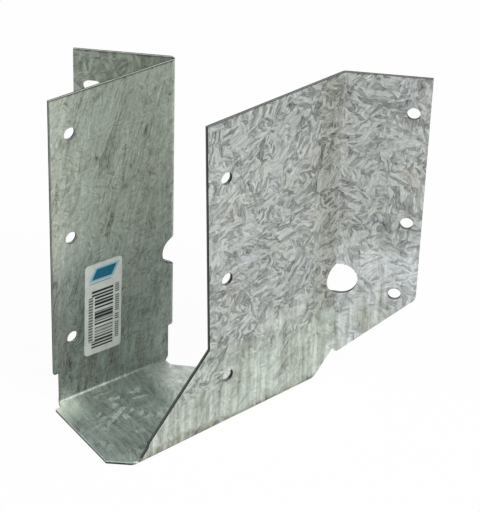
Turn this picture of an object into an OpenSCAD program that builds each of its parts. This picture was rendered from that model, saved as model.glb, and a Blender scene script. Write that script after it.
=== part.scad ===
// Skewed joist hanger for a 38 mm joist, folded from one galvanised steel sheet.
// The joist lies along Y, centred on x = 0. The header's face is the upright plane that
// crosses the joist's middle at y = header_y and is turned from it by the skew angle.
// The origin is on the seat's upper face, where the joist bears. Heights are measured from
// that face. Depths are measured along a plate, away from the header's face.

/* [Sheet] */
// Thickness of the steel sheet
sheet_t = 1.3; // [1:0.1:2]
// Inside radius of every bend
bend_r = 0.9; // [0.7:0.1:1.2]

/* [Joist pocket] */
// Clear width between the plates where they meet the header
pocket_w = 39.7; // [38:0.1:42]
// Overall height, from the seat's underside to the top edges
overall_h = 127; // [122:1:135]
// Angle between the joist and the header's face
skew = 45; // [43:1:47]
// Angle by which the right plate opens away from the joist
splay = 3.5; // [0:0.5:4]
// Distance along the joist's middle from the origin to the header's face
header_y = 46; // [42:1:50]

/* [Left plate] */
// Depth of the front edge
left_depth = 56.8; // [54:0.1:60]
// How far the front edge steps back near the seat
left_step = 2.4; // [1.6:0.1:4]
// Height of that step
left_step_z = 12.7; // [8:0.1:15]
// How far the rear edge steps forward below the flange
left_heel_step = 0.8; // [0.5:0.1:1.5]

/* [Right plate] */
// Depth of the front edge at the top
right_depth_top = 63; // [62:0.1:64]
// Depth of the front edge where the slanting edge starts
right_depth_low = 60.2; // [59:0.1:61]
// Height at which the slanting edge starts
slant_top_z = 34.1; // [32:0.1:36]
// Depth at the foot of the slanting edge
slant_depth = 87.5; // [86:0.1:89]
// Height of the foot of the slanting edge
slant_foot_z = 5.9; // [5:0.1:7]

/* [Flanges] */
// Width of the left flange, from the left plate's inner face
left_flange_w = 39.5; // [38:0.1:41]
// Width of the right flange at the top, from the right plate's inner face
right_flange_w = 31.2; // [30:0.1:33]
// How much the right flange narrows from its top to its lower corner
right_flange_taper = 0.9; // [0:0.1:1.5]
// Height of the flanges' outer lower corners
flange_corner_z = 34.3; // [32:0.1:36]
// Height at which the left flange leaves its bend
left_foot_z = 14.8; // [13:0.1:17]
// Height at which the right flange leaves its bend
right_foot_z = 8.4; // [8:0.1:9]
// Height of the small relief notch where the right flange leaves its bend
foot_relief = 0.6; // [0.3:0.1:0.9]

/* [Seat] */
// Distance from the header's face to the seat's rear edge
seat_rear = 8.3; // [7.8:0.1:9]
// Depth of the seat's front left corner
seat_front_left = 58.4; // [57:0.1:60]
// Depth of the seat's front right corner
seat_front_right = 61.2; // [60:0.1:62]
// Distance of the front right corner from the left plate's inner face
seat_corner_x = 38.9; // [38:0.1:40]
// Depth along the right plate at which the seat's front edge meets the bend
seat_toe = 94.7; // [94:0.1:96]

/* [Nail holes] */
// Diameter of the nail holes
nail_d = 4.8; // [4:0.1:5.5]
// Distance of the plates' holes from their front edges
plate_hole_edge = 8.2; // [7:0.1:9]
// Height of the left plate's lowest hole
left_hole_z = 26.2; // [25:0.1:28]
// Spacing of the left plate's holes
left_hole_pitch = 42.2; // [41:0.1:43]
// Height of the right plate's lowest hole
right_hole_z = 19.8; // [19:0.1:21]
// Spacing of the right plate's holes
right_hole_pitch = 41.4; // [40:0.1:42]
// Distance of the left flange's holes from its outer edge
left_flange_hole_edge = 6.7; // [6:0.1:7.5]
// Distance of the right flange's holes from its outer edge
right_flange_hole_edge = 6; // [5.5:0.1:7]
// How much farther in the flanges' lowest holes are
flange_hole_inset = 2.8; // [2:0.1:3.5]
// Height of the flanges' top holes
flange_hole_top_z = 111.4; // [108:0.1:113]
// Height of the flanges' middle holes
flange_hole_mid_z = 66.4; // [62:0.1:70]
// Height of the flanges' lowest holes
flange_hole_low_z = 35.9; // [35:0.1:38]
// Overall length of the left flange's slotted top hole
slot_len = 6.7; // [5.5:0.1:8]

/* [Bend holes] */
// Diameter of the round holes across each upright bend
bend_hole_d = 12.7; // [12:0.1:13]
// Height of the left bend's hole
left_bend_hole_z = 46.9; // [45:0.1:48]
// Height of the right bend's hole
right_bend_hole_z = 40.5; // [40:0.1:42]
// How far past the flats' ends the holes' middles lie, on the flat sheet
bend_hole_shift = 2.7; // [2.4:0.1:3]

/* [Label] */
// Width of the paper label
label_w = 16; // [12:0.5:18]
// Height of the paper label
label_h = 38.5; // [30:0.5:40]
// Thickness of the paper label
label_t = 0.15; // [0.1:0.05:0.3]
// Depth of the label's middle along the left plate
label_depth = 35.4; // [32:0.1:36]
// Height of the label's middle
label_z = 34.5; // [33:0.1:37]
// Slight tilt with which the label is stuck on
label_tilt = 1.3; // [0:0.1:2]

/* [Hidden] */
$fn = 48;

outer_r = bend_r + sheet_t;       // outside radius of every bend
neutral_r = bend_r + sheet_t / 2; // radius along which the flat sheet keeps its length
top_z = overall_h - sheet_t;
flange_corner_r = 3;
foot_run = 1.6;                   // width of the flanges' lower edge before it slopes
step_r = 1.5;                     // fillet in the left plate's step
label_r = 1.5;                    // rounding of the label's corners
arc_step = 7.5;                   // angle between the points of an arc
over = 0.4;                       // how far a cutter reaches past the sheet's faces
far = 12;                         // how far a cutter reaches past an edge
seat_strip = 8;                   // width of the seat that is made with each of its bends
seat_inset = 4;                   // how far the seat's middle stays inside its bends

// Upright lines where the plates' inner faces would meet the header's face
left_line = [-pocket_w / 2, header_y - pocket_w / 2 / tan(skew)];
right_line = [pocket_w / 2, header_y + pocket_w / 2 / tan(skew)];
// Directions in plan: along the right plate away from the header, and outwards from it
along_right = [sin(splay), -cos(splay)];
out_right = [cos(splay), sin(splay)];

// Upright bends: how far the sheet turns, and the depth at which the plate's flat starts
left_turn = 180 - skew;
right_turn = skew + splay;
left_flat = outer_r * tan(left_turn / 2);
right_flat = outer_r * tan(right_turn / 2);

// Left plate: rear edge below the flange, front edge below the step, and the seat beside them
left_heel = left_flat + left_heel_step;
left_toe = left_depth - left_step;
seat_left_rear = left_heel + 1.7;
seat_left_toe = left_toe + 1;
notch_x = 2.7;
notch_depth = seat_left_toe + 0.5;

// Right plate's front edge: a slanting edge, a small jog, then on down to the seat's bend
jog_depth = 0.5;
jog_z = slant_foot_z - 1.8;
toe_slope = 0.95;
toe_depth = slant_depth + jog_depth + (jog_z - bend_r) * toe_slope;

// Right plate's rear edge: it leaves the upright bend and slants to the seat's bend
heel_start = right_flat + 0.2;
heel_depth = heel_start + right_foot_z - bend_r;
seat_heel = (seat_rear + bend_r * cos(right_turn)) / sin(right_turn);

// Corners of the seat's right side, as [depth, out] from the right plate
rear_corner_x = seat_rear / cos(skew) - seat_left_rear * tan(skew);
rear_corner = in_right(rear_corner_x, seat_left_rear);
front_corner = in_right(seat_corner_x, seat_front_right);

function in_right(x, depth) =
    let (p = left_line + [x, -depth] - right_line) [p * along_right, p * out_right];
function from_right(depth, out) = right_line + depth * along_right + out * out_right;
function heading(v) = atan2(v.y, v.x);
function bend_len(turn) = neutral_r * turn * PI / 180;
function right_front(z) = right_depth_low
    + (right_depth_top - right_depth_low) * (z - slant_top_z) / (top_z - slant_top_z);
function arc(c, r, a0, a1) = let (n = ceil(abs(a1 - a0) / arc_step))
    [for (i = [0:n]) let (a = a0 + (a1 - a0) * i / n) c + r * [cos(a), sin(a)]];

// Plan of a plate with its upright bend and flange: x is the depth, y points outwards
function wall_plan(turn, flat, depth, width) = let (
    along = [-cos(turn), sin(turn)],
    front = [sin(turn), cos(turn)],
    c = [flat, outer_r]
) concat(
    [[depth, 0]], arc(c, outer_r, -90, -90 - turn),
    [width * along, width * along + sheet_t * front],
    arc(c, bend_r, -90 - turn, -90), [[depth, sheet_t]]
);

// Section of a plate's foot with its bend and a strip of the seat: x points outwards, y up
function seat_section(height) = concat(
    [[sheet_t, height], [0, height]], arc([-bend_r, bend_r], bend_r, 0, -90),
    [[-seat_strip, 0], [-seat_strip, -sheet_t]], arc([-bend_r, bend_r], outer_r, -90, 0)
);

// Plan frames: x is the depth along the plate, y points out of the pocket, z up
module left_plan() {
    translate([left_line.x, left_line.y, 0]) rotate([0, 0, -90]) mirror([0, 1, 0]) children();
}
module right_plan() {
    translate([right_line.x, right_line.y, 0]) rotate([0, 0, splay - 90]) children();
}

// Section frames: x points out of the pocket, y up, z is the depth
module left_section() {
    translate([left_line.x, left_line.y, 0]) rotate([90, 0, 0]) mirror([1, 0, 0]) children();
}
module right_section() {
    translate([right_line.x, right_line.y, 0]) rotate([90, 0, splay]) children();
}

// Face frames: x is the depth or runs along the flange, y is up, and z = 0 is the face that
// touches the joist or the header
module left_face() {
    translate([left_line.x, left_line.y, 0]) rotate([90, 0, -90]) children();
}
module right_face() {
    translate([right_line.x, right_line.y, 0]) rotate([90, 0, splay - 90]) children();
}
module left_flange_face() {
    translate([left_line.x, left_line.y, 0]) rotate([90, 0, 270 - skew]) children();
}
module right_flange_face() {
    translate([right_line.x, right_line.y, 0]) rotate([90, 0, 90 - skew]) children();
}

// Children's outline cut right through a sheet that lies on either side of a face
module through() {
    translate([0, 0, -sheet_t - over]) linear_extrude(2 * (sheet_t + over)) children();
}
module nail_hole(x, z) {
    translate([x, z]) circle(d = nail_d);
}

// Each side of the hanger before it is cut: plate, upright bend and flange in one run
module wall(turn, flat, depth, width, foot_z) {
    translate([0, 0, foot_z]) linear_extrude(top_z - foot_z)
        polygon(wall_plan(turn, flat, depth, width + over));
}
module seat_side(rear, front, height) {
    translate([0, 0, rear]) linear_extrude(front - rear) polygon(seat_section(height));
}
module seat_middle() {
    translate([0, 0, -sheet_t]) linear_extrude(sheet_t) polygon([
        left_line + [seat_inset, -seat_front_left - over],
        left_line + [seat_inset, seat_inset - seat_left_rear],
        from_right(seat_heel - seat_inset, -bend_r - seat_inset),
        from_right(front_corner.x + 1, -bend_r - seat_inset)
    ]);
}

// Flat cutters of the seat, drawn in a plate's plan frame
module seat_cutter(points) {
    translate([0, 0, -sheet_t - over]) linear_extrude(sheet_t + 2 * over) polygon(points);
}
module seat_cuts() {
    front = [seat_front_right - seat_front_left, notch_x - seat_corner_x];
    front_end = [seat_front_right, -seat_corner_x] + front / 4;
    slope_start = [seat_toe, -bend_r];
    slope_end = 2 * front_corner - slope_start;
    left_plan() seat_cutter([
        [seat_left_toe, -bend_r], [notch_depth, -notch_x], [seat_front_left, -notch_x],
        front_end, [front_end.x + far, front_end.y], [front_end.x + far, -bend_r]
    ]);
    left_plan() seat_cutter([
        [seat_left_rear, -bend_r], [seat_left_rear, -rear_corner_x],
        [-far, -rear_corner_x], [-far, -bend_r]
    ]);
    right_plan() seat_cutter([
        slope_start, slope_end, [slope_end.x + far, slope_end.y],
        [slope_end.x + far, -bend_r]
    ]);
    right_plan() seat_cutter([
        [seat_heel, -bend_r], rear_corner, rear_corner - [70, 0], [-2 * far, -bend_r]
    ]);
}

// Cutter wrapped round a seat's bend. Its edge runs from depth a on the plate to depth b on
// the seat, straight across the flat sheet, and everything from there to `end` is cut.
module folded_cutter(a, b, end, steps = 10) {
    middle = [-bend_r, bend_r];
    rings = [for (i = [0:steps]) let (
        t = 90 * i / steps,
        ray = [cos(t), -sin(t)],
        near = middle + (bend_r - over) * ray,
        outer = middle + (outer_r + over) * ray,
        edge = a + (b - a) * i / steps,
        low = min(edge, end),
        high = max(edge, end)
    ) each [
        [near.x, near.y, low], [outer.x, outer.y, low],
        [outer.x, outer.y, high], [near.x, near.y, high]
    ]];
    last = 4 * steps;
    walls = [for (p = [0 : 4 : last - 4], j = [0:3]) let (k = (j + 1) % 4) each [
        [p + j, p + 4 + j, p + k], [p + k, p + 4 + j, p + 4 + k]
    ]];
    polyhedron(points = rings, faces = concat(
        [[0, 1, 2, 3]], walls, [[last + 3, last + 2, last + 1, last]]
    ));
}

module left_plate_cuts() {
    through() polygon(concat(
        [[left_depth, top_z + over], [left_depth, left_step_z]],
        arc([left_toe + step_r, left_step_z - step_r], step_r, 90, 180),
        [[left_toe, bend_r], [left_depth + far, bend_r], [left_depth + far, top_z + over]]
    ));
    through() polygon([
        [-far, bend_r], [left_heel, bend_r], [left_heel, left_foot_z], [-far, left_foot_z]
    ]);
    through() for (i = [0:2])
        nail_hole(left_depth - plate_hole_edge, left_hole_z + i * left_hole_pitch);
}

module right_plate_cuts() {
    end = front_corner.x + far;
    through() polygon([
        [right_front(top_z + over), top_z + over], [right_depth_low, slant_top_z],
        [slant_depth, slant_foot_z], [slant_depth + jog_depth, jog_z], [toe_depth, bend_r],
        [end, bend_r], [end, top_z + over]
    ]);
    through() polygon([
        [heel_start - over, bend_r], [heel_depth, bend_r],
        [heel_start - 0.3, right_foot_z + 0.3], [heel_start - over, right_foot_z + 0.3]
    ]);
    through() for (i = [0:2]) let (z = right_hole_z + i * right_hole_pitch)
        nail_hole(right_front(z) - plate_hole_edge, z);
}

// Small notch in the lower edge where the right flange leaves its bend
module relief_cut() {
    along = [-cos(right_turn), sin(right_turn)];
    front = [sin(right_turn), cos(right_turn)];
    run = (right_flat + foot_run / 3) * along;
    back = run - 2 * over * front;
    translate([0, 0, right_foot_z - over]) linear_extrude(foot_relief + over) polygon([
        [heel_start, -2 * over], [heel_start, sheet_t + 2 * over],
        run + (sheet_t + 2 * over) * front, back, [back.x, -2 * over]
    ]);
}

// All that lies outside a flange's sloping lower edge, rounded corner and outer edge
module flange_trim(flat, width, taper, foot_z) {
    foot = [flat + foot_run, foot_z];
    corner = [width - taper, flange_corner_z];
    top = [width, top_z];
    slope = (corner - foot) / norm(corner - foot);
    rise = (top - corner) / norm(top - corner);
    setback = flange_corner_r * tan(acos(slope * rise) / 2);
    middle = corner - slope * setback + flange_corner_r * [-slope.y, slope.x];
    low = foot - 2 * slope;
    high = top + 2 * rise;
    through() polygon(concat(
        [low], arc(middle, flange_corner_r, heading(slope) - 90, heading(rise) - 90),
        [high, [width + far, high.y], [width + far, low.y]]
    ));
}

module left_flange_cuts() {
    hole_x = left_flange_w - left_flange_hole_edge;
    slot_reach = (slot_len - nail_d) / 2;
    flange_trim(left_flat, left_flange_w, 0, left_foot_z);
    through() union() {
        for (side = [-1, 1]) nail_hole(hole_x + side * slot_reach, flange_hole_top_z);
        translate([hole_x, flange_hole_top_z]) square([2 * slot_reach, nail_d], center = true);
    }
    through() nail_hole(hole_x, flange_hole_mid_z);
    through() nail_hole(hole_x - flange_hole_inset, flange_hole_low_z);
}

module right_flange_cuts() {
    hole_x = right_flange_w - right_flange_hole_edge;
    flange_trim(right_flat, right_flange_w, right_flange_taper, right_foot_z);
    through() nail_hole(hole_x, flange_hole_top_z);
    through() nail_hole(hole_x, flange_hole_mid_z);
    through() nail_hole(hole_x - flange_hole_inset, flange_hole_low_z);
}

// A bend's hole as a round cutter through the plate or the flange: `side` is 1 where the
// sheet lies at positive z of its face frame
module bend_hole(x, z, turn, side) {
    reach = outer_r - bend_r * cos(turn / 2) + 0.1;
    translate([x, z, side > 0 ? -1 : -reach]) cylinder(d = bend_hole_d, h = 1 + reach);
}

module hanger() {
    left_hole_flange_x = left_flat + bend_hole_shift - bend_len(left_turn);
    right_hole_flange_x = right_flat + bend_hole_shift - bend_len(right_turn);
    color([0.64, 0.68, 0.65]) difference() {
        union() {
            left_plan() wall(left_turn, left_flat, left_depth + over, left_flange_w, left_foot_z);
            right_plan() wall(right_turn, right_flat, slant_depth, right_flange_w, right_foot_z);
            left_section() seat_side(left_heel - over, seat_front_left + over, left_foot_z + 2);
            right_section() seat_side(heel_start, front_corner.x + over, right_foot_z + 2);
            seat_middle();
        }
        seat_cuts();
        left_section() folded_cutter(left_heel, seat_left_rear, -far);
        left_section() folded_cutter(left_toe, seat_left_toe, left_toe + far);
        right_section() folded_cutter(heel_depth, seat_heel, -far);
        right_section() folded_cutter(toe_depth, seat_toe, seat_toe + far);
        left_face() left_plate_cuts();
        right_face() right_plate_cuts();
        right_plan() relief_cut();
        left_flange_face() left_flange_cuts();
        right_flange_face() right_flange_cuts();
        left_face() bend_hole(left_flat - bend_hole_shift, left_bend_hole_z, left_turn, 1);
        left_flange_face() bend_hole(left_hole_flange_x, left_bend_hole_z, left_turn, -1);
        right_face() bend_hole(right_flat - bend_hole_shift, right_bend_hole_z, right_turn, -1);
        right_flange_face() bend_hole(right_hole_flange_x, right_bend_hole_z, right_turn, 1);
    }
}

module label() {
    straight_w = label_w - 2 * label_r;
    straight_h = label_h - 2 * label_r;
    color("white") left_face() translate([label_depth, label_z, -label_t])
        rotate([0, 0, label_tilt]) linear_extrude(label_t) union() {
            square([label_w, straight_h], center = true);
            square([straight_w, label_h], center = true);
            for (x = [-0.5, 0.5], y = [-0.5, 0.5])
                translate([x * straight_w, y * straight_h]) circle(label_r);
        }
}

hanger();
label();
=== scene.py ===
"""Looks of a skewed joist hanger folded from spangled galvanised sheet, with a paper label."""

import math
from functools import reduce
from types import SimpleNamespace

import bpy
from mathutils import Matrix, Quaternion, Vector


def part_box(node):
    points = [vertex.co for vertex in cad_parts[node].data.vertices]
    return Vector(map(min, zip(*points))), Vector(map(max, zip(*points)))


MM = 0.001

# Main sizes of the hanger in the row frame, in millimetres and degrees
SHEET_T = 1.3
POCKET_HALF = 19.85
HEADER_Y = 46.0  # where the header's face crosses the joist's middle
LEFT_LINE_Y = HEADER_Y - POCKET_HALF  # where the left plate's inner face meets the header
RIGHT_LINE_Y = HEADER_Y + POCKET_HALF
RIGHT_SPLAY = 3.5
TOP_Z = 125.7
LABEL_HALF_HEIGHT = 19.25
LABEL_DEPTH = 35.4  # from the left line to the label's middle
LABEL_Z = 34.5  # height of the label's middle
LABEL_TILT = 1.3

# Directions in plan: away from the header's face, and outwards from the right plate
SKEW_SINE = math.sqrt(0.5)
FROM_HEADER = (SKEW_SINE, -SKEW_SINE, 0)
OUT_RIGHT = (math.cos(math.radians(RIGHT_SPLAY)), math.sin(math.radians(RIGHT_SPLAY)), 0)

# Camera: the photograph's viewing angle
AIM = Vector((8.54, 30.86, 56.12)) * MM
DISTANCE = 912.1 * MM
AZIMUTH, ELEVATION, ROLL = 52.02, 32.51, 1.505
LENS = 179.1

# Surroundings
WHITE = (1, 1, 1, 1)
FLOOR_GAP = 0.05 * MM  # keeps the floor from sharing a plane with the seat's underside
FLOOR_HALF = 3.0  # metres
FLOOR_WHITE = 0.96  # how far the floor turns to plain white where it is seen
FLOOR_COLOUR = (0.9, 0.9, 0.9, 1)
AMBIENT = 0.45  # strength of the light from all around


# ---------------------------------------------------------------- node helpers


class Graph:
    """The node tree of a material or world, with one short method for each kind of node."""

    def __init__(self, owner):
        owner.use_nodes = True
        self.owner = owner
        self.tree = owner.node_tree
        self.tree.nodes.clear()

    def node(self, kind, inputs=None, **settings):
        made = self.tree.nodes.new(kind)
        for key, value in settings.items():
            setattr(made, key, value)
        for key, value in (inputs or {}).items():
            self.put(made.inputs[key], value)
        return made

    def put(self, socket, value):
        if isinstance(value, bpy.types.NodeSocket):
            self.tree.links.new(value, socket)
        else:
            socket.default_value = value

    # Numbers

    def math(self, operation, *values):
        made = self.node("ShaderNodeMath", operation=operation)
        for socket, value in zip(made.inputs, values):
            self.put(socket, value)
        return made.outputs[0]

    def add(self, *values):
        return reduce(lambda a, b: self.math("ADD", a, b), values)

    def mul(self, *values):
        return reduce(lambda a, b: self.math("MULTIPLY", a, b), values)

    def most(self, *values):
        return reduce(lambda a, b: self.math("MAXIMUM", a, b), values)

    def sub(self, a, b):
        return self.math("SUBTRACT", a, b)

    def divide(self, a, b):
        return self.math("DIVIDE", a, b)

    def absolute(self, value):
        return self.math("ABSOLUTE", value)

    def above(self, value, limit):
        return self.math("GREATER_THAN", value, limit)

    def under(self, value, limit):
        return self.math("LESS_THAN", value, limit)

    def outside(self, mask):
        return self.sub(1.0, mask)

    def ramp(self, value, low, high, to_low=0.0, to_high=1.0):
        """value goes smoothly from to_low at low to to_high at high."""
        limits = {"From Min": low, "From Max": high, "To Min": to_low, "To Max": to_high}
        made = self.node(
            "ShaderNodeMapRange", {"Value": value, **limits}, interpolation_type="SMOOTHSTEP")
        return made.outputs["Result"]

    def between(self, value, low, high, soft):
        """1 where value lies between low and high, with soft limits."""
        return self.mul(
            self.ramp(value, low - soft, low + soft), self.ramp(value, high + soft, high - soft))

    def mix(self, factor, a, b):
        return self.node("ShaderNodeMix", {"Factor": factor, 2: a, 3: b}).outputs[0]

    # Places and directions

    def vector(self, operation, a, b):
        made = self.node("ShaderNodeVectorMath", {0: a, 1: b}, operation=operation)
        return made.outputs["Value" if operation == "DOT_PRODUCT" else "Vector"]

    def shift(self, place, by):
        return self.vector("ADD", place, by)

    def squeeze(self, place, by):
        return self.vector("MULTIPLY", place, by)

    def along(self, place, direction):
        return self.vector("DOT_PRODUCT", place, direction)

    def scale(self, place, by):
        made = self.node("ShaderNodeVectorMath", {0: place, "Scale": by}, operation="SCALE")
        return made.outputs["Vector"]

    def turn(self, place, angle):
        """place turned about the sheet's upright by an angle in radians."""
        made = self.node("ShaderNodeVectorRotate", {"Vector": place, "Angle": angle},
                         rotation_type="Z_AXIS")
        return made.outputs["Vector"]

    def split(self, place):
        return self.node("ShaderNodeSeparateXYZ", {"Vector": place}).outputs

    def position(self):
        """Place on the object in the row frame, in millimetres."""
        return self.scale(self.node("ShaderNodeTexCoord").outputs["Object"], 1 / MM)

    # Patterns

    def noise_node(self, place, size, detail=2.0, roughness=0.5):
        return self.node("ShaderNodeTexNoise", {
            "Vector": place, "Scale": 1 / size, "Detail": detail, "Roughness": roughness})

    def noise(self, place, size, **settings):
        return self.noise_node(place, size, **settings).outputs["Fac"]

    def centred_noise(self, place, size, **settings):
        return self.sub(self.noise(place, size, **settings), 0.5)

    def wander(self, place, size, reach):
        """A smooth random displacement, up to about half of reach each way."""
        colour = self.noise_node(place, size).outputs["Color"]
        centred = self.vector("SUBTRACT", colour, (0.5, 0.5, 0.5))
        return self.scale(centred, reach)

    def cells(self, flat, size, feature="F1"):
        return self.node("ShaderNodeTexVoronoi", {"Vector": flat, "Scale": 1 / size},
                         voronoi_dimensions="2D", feature=feature).outputs

    def chance(self, number):
        """A random number from 0 to 1 that belongs to this whole number."""
        return self.node("ShaderNodeTexWhiteNoise", {"W": number},
                         noise_dimensions="1D").outputs["Value"]

    # Colours

    def mix_colour(self, factor, a, b, blend="MIX"):
        made = self.node("ShaderNodeMix", data_type="RGBA", blend_type=blend)
        for socket, value in (("Factor", factor), (6, a), (7, b)):
            self.put(made.inputs[socket], value)
        return made.outputs[2]

    def channels(self, colour):
        return self.node("ShaderNodeSeparateColor", {"Color": colour}).outputs

    def colour(self, red, green, blue):
        made = self.node("ShaderNodeCombineColor", {"Red": red, "Green": green, "Blue": blue})
        return made.outputs[0]

    def tinted(self, hue, level):
        return self.mix_colour(1.0, hue, self.colour(level, level, level), "MULTIPLY")

    # Shaders

    def bump(self, height, strength, distance):
        made = self.node("ShaderNodeBump", {
            "Height": height, "Strength": strength, "Distance": distance})
        return made.outputs["Normal"]

    def surface(self, shader, output="ShaderNodeOutputMaterial"):
        self.node(output, {"Surface": shader.outputs[0]})
        return self.owner

    def seen(self):
        """1 for rays of the camera, of reflections and through clear pieces, 0 for all others."""
        rays = self.node("ShaderNodeLightPath").outputs
        return self.most(
            rays["Is Camera Ray"], rays["Is Glossy Ray"], rays["Is Transmission Ray"])

    def blend(self, factor, a, b):
        return self.node("ShaderNodeMixShader", {0: factor, 1: a.outputs[0], 2: b.outputs[0]})


def new_material(name):
    return Graph(bpy.data.materials.new(name))


def off_white(green=0.0, warm=0.0):
    """White, a little towards green or towards brown."""
    return (1 + warm - green / 2, 1 + green / 2, 1 - warm - green / 2, 1)


# ---------------------------------------------------------------- galvanised sheet

# Places and sizes below are millimetres, and masks and chances are shares from 0 to 1

# Hues that tint the zinc's grey
RIGHT_HUE = PALE_HUE = off_white(green=0.05)
LEFT_HUE = off_white(green=0.13, warm=0.02)
LOW_LEFT_HUE = (0.93, 1.07, 0.97, 1)
LOW_FLANGE_HUE = (0.95, 1.01, 1.02, 1)
SEAT_HUE = (0.91, 1.08, 0.98, 1)
SEAT_CORNER_HUE = (0.99, 1.07, 0.9, 1)
FOOT_HUE = (0.96, 1.07, 0.95, 1)
BLUISH_HUE = (0.95, 1.02, 1.04, 1)
BROWNISH_HUE = (1.02, 1.0, 0.91, 1)
# The next two tint stains and also the painted shade on the right plate
STAIN_AND_SHADE_HUE = (1.0, 1.01, 0.9, 1)
FOOT_STAIN_AND_SHADE_HUE = (0.98, 1.04, 0.87, 1)
SPECK_HUE = (0.66, 0.55, 0.42, 1)
EDGE_HUE = off_white(green=0.1)

# How light the zinc is before its pattern. The left plate low down, the left flange and the seat
# are darker partly by the zinc's own tone and partly by painted shade
RIGHT_LEVEL, RIGHT_FLANGE_LEVEL = 0.475, 0.458
LEFT_LOW_LEVEL, LEFT_HIGH_LEVEL, LEFT_FLANGE_LEVEL = 0.35, 0.475, 0.365
SEAT_LEVEL = 0.34
DARKEST = 0.02

# How far apart the pattern's places lie for the sheet's two faces and for left and right
FACES_APART, SIDES_APART = 300.0, 100.0


def unrolled(g, x, y, z, on_flange, on_seat, outer_side):
    """Place on the flat sheet before folding: first along the plate and on into its flange,
    then up. The two faces of the sheet lie far apart, so that their patterns differ."""
    side = g.math("SIGN", x)
    from_corner = g.sub(y, g.add(HEADER_Y, g.mul(side, POCKET_HALF)))
    out_of_pocket = g.sub(g.mul(x, side), POCKET_HALF)
    along_flange = g.mul(g.add(out_of_pocket, g.mul(from_corner, side)), SKEW_SINE)
    along = g.mix(on_flange, from_corner, along_flange)
    up = g.mix(on_seat, z, g.mul(g.add(x, POCKET_HALF), -1.0))
    along = g.add(along, g.add(g.mul(outer_side, FACES_APART), g.mul(side, SIDES_APART)))
    return g.node("ShaderNodeCombineXYZ", {"X": along, "Y": up}).outputs[0]


def sheet_regions(g, place, normal):
    """Masks of the folded sheet's parts, by where they lie in the row frame, and distances
    along the plates from the header's face."""
    x, y, z = g.split(place)
    facing = g.split(normal)
    normal_y, normal_z = g.absolute(facing["Y"]), g.absolute(facing["Z"])
    from_header = g.along(g.shift(place, (0, -HEADER_Y, 0)), FROM_HEADER)
    past_right = g.along(g.shift(place, (-POCKET_HALF, -RIGHT_LINE_Y, 0)), OUT_RIGHT)
    left = g.under(x, -POCKET_HALF + 1.0)
    on_flange = g.under(from_header, SHEET_T + 0.05)
    on_seat = g.under(z, 0.02)

    # Place across the thickness, 0 at the face that touches the wood and 1 at the other
    through_left = g.divide(g.sub(-POCKET_HALF, x), SHEET_T)
    through_right = g.divide(past_right, SHEET_T)
    through_plate = g.mix(g.under(x, 0.0), through_right, through_left)
    through = g.mix(on_flange, through_plate, g.divide(from_header, SHEET_T))
    below = g.divide(z, -SHEET_T)
    through = g.mix(on_seat, through, below)
    outer_face = g.above(g.most(through_plate, below), 0.5)
    turning_under = g.mul(g.ramp(z, 1.8, -0.3), g.ramp(normal_z, 0.97, 0.8))

    # Cut edges: the surface doesn't face along the sheet's thickness
    facing_header = g.absolute(g.along(normal, FROM_HEADER))
    facing_joist = g.absolute(g.along(normal, OUT_RIGHT))
    off_bend = g.above(from_header, 5.0)
    above_seat = g.above(z, 1.5)
    level_edge = g.mul(g.above(normal_z, 0.9), above_seat)
    slanting_edge = g.mul(g.above(normal_z, 0.5), above_seat)
    upright_edge = g.mul(
        g.under(g.mix(on_flange, facing_joist, facing_header), 0.5),
        g.mul(g.most(off_bend, on_flange), g.above(z, 0.95)))
    seat_edge = g.mul(g.under(normal_z, 0.3), on_seat, g.under(facing_joist, 0.9))
    bend_end = g.mul(g.above(normal_y, 0.6), off_bend)
    return SimpleNamespace(
        x=x, y=y, z=z, left=left, right=g.outside(left), flange=on_flange, seat=on_seat,
        off_seat=g.outside(on_seat), left_plate=g.mul(left, g.outside(on_flange)),
        cut=g.most(slanting_edge, upright_edge, seat_edge, bend_end), level_edge=level_edge,
        through=through, lower_bend=g.mul(outer_face, turning_under),
        depth=g.sub(LEFT_LINE_Y, y), right_depth=g.sub(RIGHT_LINE_Y, y),
        flat=unrolled(g, x, y, z, on_flange, on_seat, g.above(through, 0.5)),
    )


def leaves(g, flat, patch, length, width, lean, spread, dark_below, patch_weight):
    """Feathery crystals: patches in which long narrow leaves lie side by side, all turned the
    same way. Gives the pattern of light and dark, each leaf's own tone, the gaps between the
    leaves and the fine ribs along them."""
    warped = g.shift(flat, g.wander(flat, patch * 0.7, patch * 0.4))
    ragged = g.shift(warped, g.wander(flat, 1.6, 1.3))
    direction, patch_tone, _ = g.channels(g.cells(ragged, patch)["Color"])
    angle = g.add(math.radians(lean - spread / 2), g.mul(direction, math.radians(spread)))
    turned = g.turn(warped, angle)
    squeezed = g.squeeze(turned, (width / length, 1.0, 1.0))
    tone = g.channels(g.cells(squeezed, width)["Color"])[0]
    to_edge = g.cells(squeezed, width, feature="DISTANCE_TO_EDGE")["Distance"]
    tones = g.ramp(tone, dark_below, dark_below + 0.7, -0.34, 0.2)
    return SimpleNamespace(
        pattern=g.add(tones, g.mul(g.sub(patch_tone, 0.5), patch_weight)), tone=tone,
        gap=g.ramp(to_edge, 0.16, 0.02),
        ribs=g.centred_noise(g.squeeze(turned, (0.16, 1.0, 1.0)), 0.5, roughness=0.7),
    )


def streaks(g, flat, angle, length, width, wave):
    """Long soft streaks that lean by an angle from upright."""
    turned = g.turn(g.shift(flat, g.wander(flat, 24.0, wave)), math.radians(angle))
    squeezed = g.squeeze(turned, (1.0, width / length, 1.0))
    return g.centred_noise(squeezed, width, detail=3.0, roughness=0.65)


def thin_lines(g, flat, angle, squeezed, size, detail, narrow, wide, patches):
    """Thin lines, where a stretched noise crosses its middle, in patches of the sheet."""
    place = g.squeeze(g.turn(flat, math.radians(angle)), (1.0, squeezed, 1.0))
    line = g.ramp(g.absolute(g.centred_noise(place, size, detail=detail)), wide, narrow)
    return g.mul(line, patches)


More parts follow.
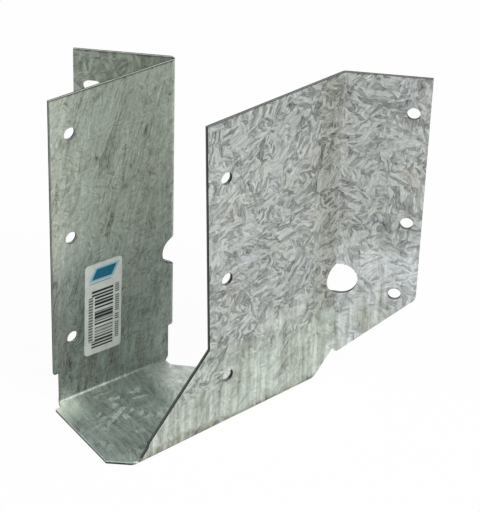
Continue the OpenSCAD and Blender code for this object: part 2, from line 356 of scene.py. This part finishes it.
def sheet_fields(g, flat):
    """Patterns that run over the whole flat sheet."""
    large = leaves(g, flat, patch=9.0, length=6.5, width=1.6, lean=-35, spread=130,
                   dark_below=0.05, patch_weight=0.16)
    small = leaves(g, g.shift(flat, (31.0, 57.0, 0)), patch=4.5, length=3.4, width=0.95,
                   lean=-40, spread=200, dark_below=0.1, patch_weight=0.12)
    blotches = g.noise(flat, 8.0)
    on_small = g.ramp(blotches, 0.44, 0.56)
    crystals = g.mix(on_small, large.pattern, small.pattern)
    ribs = g.mix(on_small, large.ribs, small.ribs)
    gaps = g.mix(on_small, large.gap, small.gap)
    return SimpleNamespace(
        spangle=g.add(crystals, g.add(g.mul(ribs, 1.25), g.mul(gaps, -0.16))), ribs=ribs,
        leaf_tone=large.tone, leaf_ribs=large.ribs, blotches=blotches,
        broad=g.noise(flat, 14.0), clouds=g.centred_noise(flat, 22.0),
        upright=streaks(g, flat, angle=0, length=38.0, width=3.0, wave=2.0),
        flowing=streaks(g, flat, angle=20, length=40.0, width=2.4, wave=14.0),
        hair=streaks(g, flat, angle=12, length=12.0, width=0.55, wave=7.0),
        scratches=thin_lines(
            g, flat, angle=0, squeezed=0.35, size=6.0, detail=2.0, narrow=0.004, wide=0.016,
            patches=g.ramp(g.noise(flat, 7.0), 0.46, 0.6)),
        drawn=thin_lines(
            g, flat, angle=18, squeezed=0.14, size=7.0, detail=1.0, narrow=0.002, wide=0.013,
            patches=g.ramp(g.noise(flat, 15.0), 0.4, 0.52)),
    )


def sheet_zones(g, part, field):
    """Masks of the places where the zinc is paler, darker or bears stains, and of painted shade and
    highlights.
    """
    z, depth = part.z, part.depth
    right_off_seat = g.mul(part.right, part.off_seat)
    uneven = g.mul(g.sub(field.broad, 0.5), 90.0)
    foot = g.mul(g.ramp(g.add(z, uneven), 34.0, 16.0), part.off_seat)

    # Bright feather marks, most of them in the seat's middle
    middle = g.mul(g.between(depth, 22.0, 48.0, 7.0), g.between(part.x, -13.0, 6.0, 4.0))
    scattered = g.mul(g.ramp(field.blotches, 0.5, 0.6), g.mix(middle, 0.35, 1.0))
    feathers = g.mul(
        g.ramp(field.leaf_tone, 0.42, 0.55), g.ramp(field.leaf_ribs, -0.16, 0.04, 0.35, 1.0))

    # The left plate's front edge, and a painted highlight along its upright bend
    front = g.mul(g.ramp(depth, 46.0, 55.0), part.left, g.ramp(z, 10.0, 60.0))
    left_bend_highlight = g.mul(g.between(depth, 0.2, 2.4, 0.8), part.left_plate)

    # The fold between the left plate and the seat, with a painted highlight towards its front
    fold = g.mul(g.between(part.x, -19.9, -18.8, 0.3), g.between(z, -0.1, 0.8, 0.3))
    fold = g.mul(fold, g.ramp(g.add(depth, g.mul(field.hair, 60.0)), 22.0, 50.0))

    # Painted shade beside the right bend and at the right plate's lower edge, and along its foot a
    # low band that is partly stain and partly painted shade
    beside_bend = g.mul(g.between(part.right_depth, 1.0, 11.0, 5.0), g.outside(foot))
    low_edge = g.ramp(z, 4.0, -1.0, 0.0, 1.6)
    low_band_top = g.add(
        g.ramp(part.right_depth, 28.0, 68.0, -0.6, 3.2), g.mul(field.upright, 8.0))
    return SimpleNamespace(
        right_off_seat=right_off_seat, foot=foot, front=front, left_bend_highlight=left_bend_highlight, fold=fold,
        marks=g.mul(scattered, feathers, part.seat),
        seat_left=g.mul(g.ramp(part.x, -4.0, -17.0), part.seat),
        rear=g.mul(g.ramp(g.add(part.y, g.mul(field.flowing, 12.0)), 3.0, 12.0), part.seat),
        nearing_rear=g.mul(g.ramp(part.y, -16.0, 2.0), part.seat),
        bend_and_low_edge_shade=g.mul(g.most(beside_bend, low_edge), right_off_seat),
        low_stain_and_shade=g.mul(g.ramp(g.sub(z, low_band_top), 0.35, -0.35), right_off_seat),
        low_left=g.mul(g.ramp(depth, 26.0, 38.0), part.left, g.ramp(z, 64.0, 46.0)),
        low_flange=g.mul(part.flange, part.right, g.ramp(z, 66.0, 46.0)),
        below_top=g.ramp(z, TOP_Z - 0.7, TOP_Z - 0.2),
    )


def sheet_pattern(g, part, field, zone):
    """How much lighter or darker than its plain level the zinc is, as a share of the level."""
    contrast = g.mix(part.left, g.mix(zone.foot, 1.0, 0.45), g.mix(part.flange, 0.32, 0.85))
    contrast = g.mix(part.seat, contrast, 0.55)
    cloudy = g.mix(part.seat, g.mix(part.left, 0.4, 0.25), 0.8)
    flow = g.add(g.mul(field.flowing, 0.8), field.hair,
                 g.add(g.mul(field.drawn, -0.3), g.mul(field.ribs, 0.8)))
    corner = g.mul(zone.seat_left, g.ramp(part.depth, 43.0, 55.0))
    # Painted shade where the right plate's outer face turns under, and in its low band of stain and
    # shade
    shade_below = g.most(g.mul(zone.low_stain_and_shade, 0.27), g.mul(part.lower_bend, 0.38))
    return g.add(
        # All over
        g.mul(field.spangle, contrast),
        g.mul(field.clouds, cloudy),
        g.mul(field.scratches, g.mix(part.seat, -0.24, 0.0)),
        # Painted shade: a thin dark line on the faces just below the top edge
        g.mul(zone.below_top, g.mix(part.left, -0.15, -0.35)),
        # Feet of both plates, and on the right plate painted shade by its bend and low edge and a
        # low band of stain and painted shade
        g.mul(field.upright, zone.foot, g.mix(part.left, 2.2, 1.1)),
        g.mul(zone.foot, part.right, 0.14),
        g.mul(zone.bend_and_low_edge_shade, -0.14),
        g.mul(shade_below, -1.0),
        # Left plate and right flange
        g.mul(flow, part.left_plate),
        g.mul(zone.front, g.ramp(field.upright, -0.3, 0.3, 0.0, 0.34)),
        # Painted highlight along the left plate's upright bend
        g.mul(zone.left_bend_highlight, 0.35),
        g.mul(zone.low_left, -0.16),
        g.mul(zone.low_flange, g.add(g.mul(field.upright, 0.9), 0.3)),
        # Seat, and the painted highlight along its left fold
        g.mul(g.add(field.upright, field.hair), 1.2, part.seat),
        g.mul(zone.marks, 1.05),
        g.mul(corner, 1.3),
        g.mul(zone.rear, 0.85),
        g.mul(zone.nearing_rear, 0.14),
        g.mul(zone.fold, 0.8),
    )


def sheet_colour(g, part, field, zone, pattern):
    """The zinc's colour: the hue of each place, times how light the pattern makes it."""
    z, flat = part.z, part.flat
    # The left plate darkens lower down: partly its own tone, partly painted shade inside the pocket
    left_level = g.mix(
        part.flange, g.ramp(z, 25.0, 82.0, LEFT_LOW_LEVEL, LEFT_HIGH_LEVEL), LEFT_FLANGE_LEVEL)
    right_level = g.mix(part.flange, RIGHT_LEVEL, RIGHT_FLANGE_LEVEL)
    level = g.mix(part.seat, g.mix(part.left, right_level, left_level), SEAT_LEVEL)
    tone = g.most(g.mul(level, g.add(1.0, pattern)), DARKEST)

    corner = g.mul(zone.seat_left, g.ramp(part.depth, 30.0, 45.0))
    bluish = g.mul(g.ramp(field.broad, 0.52, 0.68), zone.right_off_seat)
    right_foot = g.mul(g.ramp(z, 40.0, 22.0), zone.right_off_seat)
    brownish = g.ramp(g.noise(g.shift(flat, (11.0, 77.0, 0)), 17.0, detail=3.0), 0.56, 0.74)
    # Brownish tint over stains and over the painted shade on the right plate
    stain_and_shade = g.most(
        zone.bend_and_low_edge_shade, g.mul(zone.foot, g.ramp(field.upright, 0.0, -0.12)),
        g.mul(zone.low_stain_and_shade, 1.3), g.mul(zone.front, 0.4))
    # Pale tint on the feather marks, on the painted highlight of the fold and on the seat's rear
    pale = g.most(zone.marks, zone.fold, zone.rear)
    specks = g.mul(g.ramp(g.noise(flat, 1.3), 0.6, 0.68), g.ramp(g.noise(flat, 9.0), 0.46, 0.56))
    speckled = g.mul(
        g.most(g.ramp(part.depth, 44.0, 52.0), g.mul(part.flange, 0.6)),
        g.mul(part.left, g.ramp(z, 50.0, 90.0)))

    hue = RIGHT_HUE
    for mask, tint in (
        (part.left, LEFT_HUE),
        (g.mul(part.left, g.ramp(z, 75.0, 40.0)), LOW_LEFT_HUE),
        (part.seat, SEAT_HUE),
        (g.mul(corner, 0.65), SEAT_CORNER_HUE),
        (g.mul(bluish, 0.5), BLUISH_HUE),
        (g.mul(right_foot, 0.8), FOOT_HUE),
        (g.mul(zone.low_flange, 0.6), LOW_FLANGE_HUE),
        (g.mul(brownish, part.off_seat, 0.6), BROWNISH_HUE),
        (g.mul(stain_and_shade, 0.7), g.mix_colour(right_foot, STAIN_AND_SHADE_HUE, FOOT_STAIN_AND_SHADE_HUE)),
        (g.mul(pale, 0.8), PALE_HUE),
        (g.mul(specks, g.add(g.mul(speckled, 0.7), 0.15)), SPECK_HUE),
    ):
        hue = g.mix_colour(mask, hue, tint)
    return g.tinted(hue, tone)


def sheared_edge(g, part, place):
    """Cut edges: a band that is partly burnish and partly painted highlight, between dark lines
    that are partly bare steel and partly painted shade, with more painted shade on the edges that
    aren't level.
    """
    burnish_and_highlight = g.between(part.through, 0.2, 0.55, 0.1)
    burnish_and_highlight = g.mix(part.level_edge, burnish_and_highlight, g.between(part.through, 0.3, 0.75, 0.1))
    # Painted highlight along the top of the seat's cut edges
    burnish_and_highlight = g.mix(part.seat, burnish_and_highlight, g.ramp(part.through, 0.6, 0.2))
    # Painted light: level edges, which face up, are lighter than upright ones
    bright = g.mix(
        part.level_edge, g.mix(part.left, 0.1, 0.3), g.mix(part.left, 0.24, 0.42))
    bright = g.mix(part.seat, bright, 0.5)
    grain = g.ramp(g.noise(g.squeeze(place, (1.0, 1.0, 0.5)), 0.7), 0.2, 0.8, 0.7, 1.3)
    return g.tinted(EDGE_HUE, g.mul(g.mix(burnish_and_highlight, 0.03, bright), grain))


def galvanised_steel():
    g = new_material("galvanised_spangle")
    place = g.position()
    part = sheet_regions(g, place, g.node("ShaderNodeNewGeometry").outputs["Normal"])
    field = sheet_fields(g, part.flat)
    zone = sheet_zones(g, part, field)
    zinc = sheet_colour(g, part, field, zone, sheet_pattern(g, part, field, zone))
    zinc_roughness = g.ramp(field.spangle, -0.3, 0.3, 0.58, 0.46)
    relief = g.mul(field.spangle, g.outside(part.cut))
    return g.surface(g.node("ShaderNodeBsdfPrincipled", {
        "Base Color": g.mix_colour(part.cut, zinc, sheared_edge(g, part, place)),
        "Metallic": 0.75,
        "Roughness": g.mix(part.cut, zinc_roughness, 0.55),
        "Normal": g.bump(relief, strength=0.15, distance=0.1 * MM),
    }))


# ---------------------------------------------------------------- paper label

HALO_COLOUR = (0.26, 0.48, 0.55, 1)
BADGE_COLOUR = (0.01, 0.12, 0.2, 1)
INK_COLOUR = (0.008, 0.008, 0.009, 1)


def label_paper():
    """White paper with level bars, two columns of small dashes and a slanted block: simple
    shapes that spell and encode nothing. `across` grows towards the plate's front edge."""
    g = new_material("label_print")
    place = g.position()
    local = g.shift(place, (POCKET_HALF, LABEL_DEPTH - LEFT_LINE_Y, -LABEL_Z))
    cosine, sine = math.cos(math.radians(LABEL_TILT)), math.sin(math.radians(LABEL_TILT))
    across = g.along(local, (0, -cosine, sine))
    up = g.along(local, (0, sine, cosine))
    top = LABEL_HALF_HEIGHT

    def block(left, right, low, high):
        return g.mul(g.between(across, left, right, 0.08), g.between(up, low, high, 0.08))

    def slanted_block(left, right, low, high, soft_across, soft_up):
        """A block with leaning ends, between two distances below the label's top."""
        return g.mul(g.between(g.add(across, g.mul(up, 0.5)), left, right, soft_across),
                     g.between(up, top - low, top - high, soft_up))

    def place_in_row(pitch):
        """Where in its row of this height a point lies, from 0 to 1."""
        return g.math("FRACT", g.divide(up, pitch))

    def row_chance(pitch, seed):
        """A random number from 0 to 1 for each row of this height."""
        return g.chance(g.add(g.math("FLOOR", g.divide(up, pitch)), seed))

    def dashes(left, right, low, high, pitch, seed):
        """A column of small print, seen as short dashes with gaps."""
        inked = g.mul(g.under(place_in_row(pitch), 0.72), g.under(row_chance(pitch, seed), 0.85))
        return g.mul(block(left, right, low, high), inked)

    # Level bars of uneven thickness, the first and the last of them longer
    code_low, code_high, ends = 2.6 - top, 8.2, 2.8
    code_rear, code_front, longer_front = -4.3, 3.7, 5.0
    thickness = g.add(g.mul(row_chance(1.4, seed=5.0), 0.62), 0.2)
    thick = g.ramp(g.sub(thickness, place_in_row(1.4)), -0.04, 0.04)
    thin = g.mul(g.under(row_chance(0.45, seed=8.0), 0.25), 0.5)
    code = g.most(
        block(code_rear, code_front, code_low, code_high),
        block(code_rear, longer_front, code_low, code_low + ends),
        block(code_rear, longer_front, code_high - ends, code_high))
    bars = g.mul(g.most(thick, thin), code)
    rear_print = g.mul(dashes(-6.9, -5.2, 4.2 - top, 8.4, 0.9, seed=11.0), 0.75)
    front_print = g.mul(dashes(4.5, 6.4, code_low + ends, code_high - ends, 1.2, seed=29.0), 0.8)
    ink = g.most(bars, rear_print, front_print)

    # Slanted block with a pale margin, and a thin rule below it
    uneven_ink = g.ramp(g.noise(place, 0.35), 0.3, 0.5, 0.85, 1.0)
    badge = g.mul(slanted_block(2.8, 11.4, 6.6, 2.4, soft_across=0.1, soft_up=0.1), uneven_ink)
    halo = slanted_block(1.8, 12.4, 7.3, 1.7, soft_across=0.25, soft_up=0.25)
    rule = slanted_block(2.2, 12.0, 8.2, 7.9, soft_across=0.1, soft_up=0.08)
    badge = g.most(badge, g.mul(rule, 0.8))

    paper = g.ramp(g.noise(place, 5.0, detail=3.0), 0.3, 0.7, 0.53, 0.63)
    colour = g.colour(g.mul(paper, 0.97), g.mul(paper, 1.03), g.mul(paper, 0.96))
    colour = g.mix_colour(halo, colour, HALO_COLOUR)
    colour = g.mix_colour(badge, colour, BADGE_COLOUR)
    return g.surface(g.node("ShaderNodeBsdfPrincipled", {
        "Base Color": g.mix_colour(g.mul(ink, 0.96), colour, INK_COLOUR),
        "Roughness": 0.6,
        "Specular IOR Level": 0.08,
        "Normal": g.bump(g.noise(place, 0.5), strength=0.08, distance=0.05 * MM),
    }))


# ---------------------------------------------------------------- camera, floor and light


def aim(made, azimuth, elevation, distance, roll=0.0):
    """Put a camera or lamp at a distance from the object, looking at it. Angles in degrees."""
    azimuth, elevation, roll = (math.radians(angle) for angle in (azimuth, elevation, roll))
    back = Vector((
        math.sin(azimuth) * math.cos(elevation),
        -math.cos(azimuth) * math.cos(elevation),
        math.sin(elevation),
    ))
    bpy.context.scene.collection.objects.link(made)
    made.location = AIM + back * distance
    made.rotation_mode = "QUATERNION"
    made.rotation_quaternion = (-back).to_track_quat("-Z", "Y") @ Quaternion((0, 0, 1), roll)


def make_camera():
    data = bpy.data.cameras.new("camera")
    data.lens = LENS
    data.clip_start, data.clip_end = 0.05, 20
    camera = bpy.data.objects.new("camera", data)
    aim(camera, AZIMUTH, ELEVATION, DISTANCE, ROLL)
    bpy.context.scene.camera = camera


def make_lamp(name, azimuth, elevation, distance, size, power):
    data = bpy.data.lights.new(name, "AREA")
    data.shape = "DISK"
    data.size = size
    data.energy = power
    aim(bpy.data.objects.new(name, data), azimuth, elevation, distance)


def make_floor(z):
    g = new_material("floor")
    pale = g.node("ShaderNodeBsdfDiffuse", {"Color": FLOOR_COLOUR})
    white = g.node("ShaderNodeEmission", {"Color": WHITE, "Strength": 1.0})
    mesh = bpy.data.meshes.new("floor")
    corners = [(x * FLOOR_HALF, y * FLOOR_HALF, z) for x, y in ((-1, -1), (1, -1), (1, 1), (-1, 1))]
    mesh.from_pydata(corners, [], [(0, 1, 2, 3)])
    mesh.materials.append(g.surface(g.blend(g.mul(g.seen(), FLOOR_WHITE), pale, white)))
    floor = bpy.data.objects.new("floor", mesh)
    bpy.context.scene.collection.objects.link(floor)


def make_world():
    world = bpy.data.worlds.new("studio")
    g = Graph(world)
    light = g.node("ShaderNodeBackground", {"Color": WHITE, "Strength": AMBIENT})
    white = g.node("ShaderNodeBackground", {"Color": WHITE, "Strength": 1.0})
    g.surface(g.blend(g.seen(), light, white), output="ShaderNodeOutputWorld")
    bpy.context.scene.world = world


# ---------------------------------------------------------------- the scene

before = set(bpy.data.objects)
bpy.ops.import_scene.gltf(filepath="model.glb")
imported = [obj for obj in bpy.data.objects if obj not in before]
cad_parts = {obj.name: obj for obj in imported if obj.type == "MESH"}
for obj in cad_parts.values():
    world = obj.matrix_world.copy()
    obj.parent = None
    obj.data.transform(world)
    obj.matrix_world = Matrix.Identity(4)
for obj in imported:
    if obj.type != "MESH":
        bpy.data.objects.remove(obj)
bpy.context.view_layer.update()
make_camera()

for node, material in (("hanger", galvanised_steel()), ("label", label_paper())):
    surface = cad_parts[node]
    surface.data.materials.clear()
    surface.data.materials.append(material)

make_floor(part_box("hanger")[0].z - FLOOR_GAP)
make_world()
make_lamp("key", azimuth=95, elevation=50, distance=1.4, size=0.9, power=10)
make_lamp("fill", azimuth=10, elevation=35, distance=1.5, size=1.0, power=6)
bpy.context.scene.view_settings.view_transform = "Standard"
